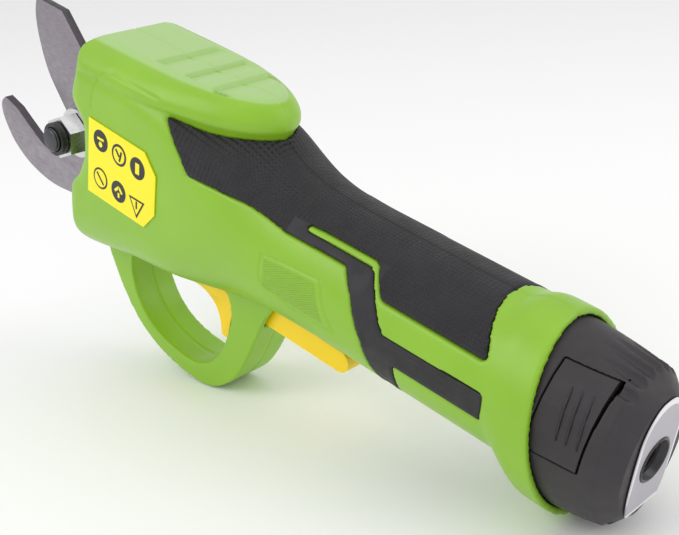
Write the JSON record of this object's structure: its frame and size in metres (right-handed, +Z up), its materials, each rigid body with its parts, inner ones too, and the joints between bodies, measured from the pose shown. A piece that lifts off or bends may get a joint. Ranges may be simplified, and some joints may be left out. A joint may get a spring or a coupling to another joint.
{
  "type": "battery electric pruner",
  "caption": "Cordless pruning shear with a finger-guard trigger, a hooked fixed blade, a driven cutting blade, rubber grip inserts and a clip-in stick battery.",
  "frame": {"origin": "centre of the bounding box, at the floor under the finger guard and the battery collar", "axes": "+X from the blades to the battery, +Y to the side of the bolt head, +Z up; the tool stands on its guard and collar with the handle sloping down to the battery"},
  "size_m": [0.2688, 0.0454, 0.1228],
  "materials": {
    "green_housing": "fine satin texture",
    "grip_rubber": "dotted grip texture",
    "yellow_trigger": "smooth, lightly glossy",
    "yellow_sticker": "printed film",
    "battery_black": "grained",
    "silver_label": "printed film",
    "blade_steel": "ground, dark coated",
    "zinc_plated": "zinc plated",
    "gear_steel": "plain",
    "sintered_bronze": "sintered",
    "black_nylon": "moulded",
    "circuit_board": "solder mask",
    "cell_wrap": "shrink wrapped",
    "contact_brass": "plated strip"
  },
  "bodies": {
    "housing": {"housing_left": "green_housing", "housing_right": "green_housing", "grip_left": "grip_rubber", "grip_right": "grip_rubber", "side_label_left": "yellow_sticker", "side_label_right": "yellow_sticker", "fixed_blade": "blade_steel", "pivot_bolt": "zinc_plated", "pivot_nut": "zinc_plated", "pivot_washer": "zinc_plated", "head_washer": "zinc_plated", "housing_screw_1": "zinc_plated", "housing_screw_2": "zinc_plated", "housing_screw_3": "zinc_plated", "housing_screw_4": "zinc_plated", "housing_screw_5": "zinc_plated", "housing_screw_6": "zinc_plated", "housing_screw_7": "zinc_plated", "gearbox": "gear_steel", "motor": "gear_steel", "spacer_washer": "sintered_bronze", "pinion_bearing": "sintered_bronze", "nut_insert": "black_nylon", "motor_end_cap": "black_nylon", "trigger_switch": "black_nylon", "terminal_block": "black_nylon", "control_board": "circuit_board"},
    "cutting_blade": {"cutting_blade": "blade_steel", "blade_bush": "sintered_bronze"},
    "pinion": {"drive_pinion": "gear_steel"},
    "trigger": {"trigger": "yellow_trigger", "trigger_spring": "zinc_plated"},
    "switch_plunger": {"switch_plunger": "yellow_trigger"},
    "battery": {"battery_stem": "battery_black", "battery_cap": "battery_black", "battery_label": "silver_label", "dc_jack": "black_nylon", "cell_1": "cell_wrap", "cell_2": "cell_wrap", "battery_board": "circuit_board", "battery_contact_minus": "contact_brass", "battery_contact_plus": "contact_brass"},
    "latch_left": {"latch_left": "battery_black"},
    "latch_right": {"latch_right": "battery_black"}
  },
  "joints": [
    {"name": "blade_pivot", "type": "hinge", "parent": "housing", "child": "cutting_blade", "pos_m": [-0.08455, 0, 0.0787], "axis": [0, -1, 0], "range_deg": [0, 60]},
    {"name": "pinion_spin", "type": "hinge", "parent": "housing", "child": "pinion", "pos_m": [-0.05615, 0.0086, 0.07878], "axis": [1, 0, 0.0028], "range_deg": [-405, 5]},
    {"name": "trigger_slide", "type": "slide", "parent": "housing", "child": "trigger", "axis": [0.9666, 0, -0.2561], "range_m": [0, 0.0045], "stiffness_N_per_m": 150, "springref_m": -0.008},
    {"name": "plunger_slide", "type": "slide", "parent": "housing", "child": "switch_plunger", "axis": [0.9666, 0, -0.2561], "range_m": [0, 0.0045]},
    {"name": "battery_slide", "type": "slide", "parent": "housing", "child": "battery", "axis": [0.9666, 0, -0.2561], "range_m": [0, 0.1]},
    {"name": "latch_left_press", "type": "hinge", "parent": "battery", "child": "latch_left", "pos_m": [0.12342, -0.0205, 0.03394], "axis": [-0.2561, 0, -0.9666], "range_deg": [0, 4], "stiffness_Nm_per_rad": 0.4, "springref_deg": -2.86},
    {"name": "latch_right_press", "type": "hinge", "parent": "battery", "child": "latch_right", "pos_m": [0.12342, 0.0205, 0.03394], "axis": [0.2561, 0, 0.9666], "range_deg": [0, 4], "stiffness_Nm_per_rad": 0.4, "springref_deg": -2.86}
  ],
  "couplings": [
    {"joint": "pinion_spin", "follows": "blade_pivot", "ratio": -6.6667},
    {"joint": "plunger_slide", "follows": "trigger_slide", "ratio": 1}
  ]
}
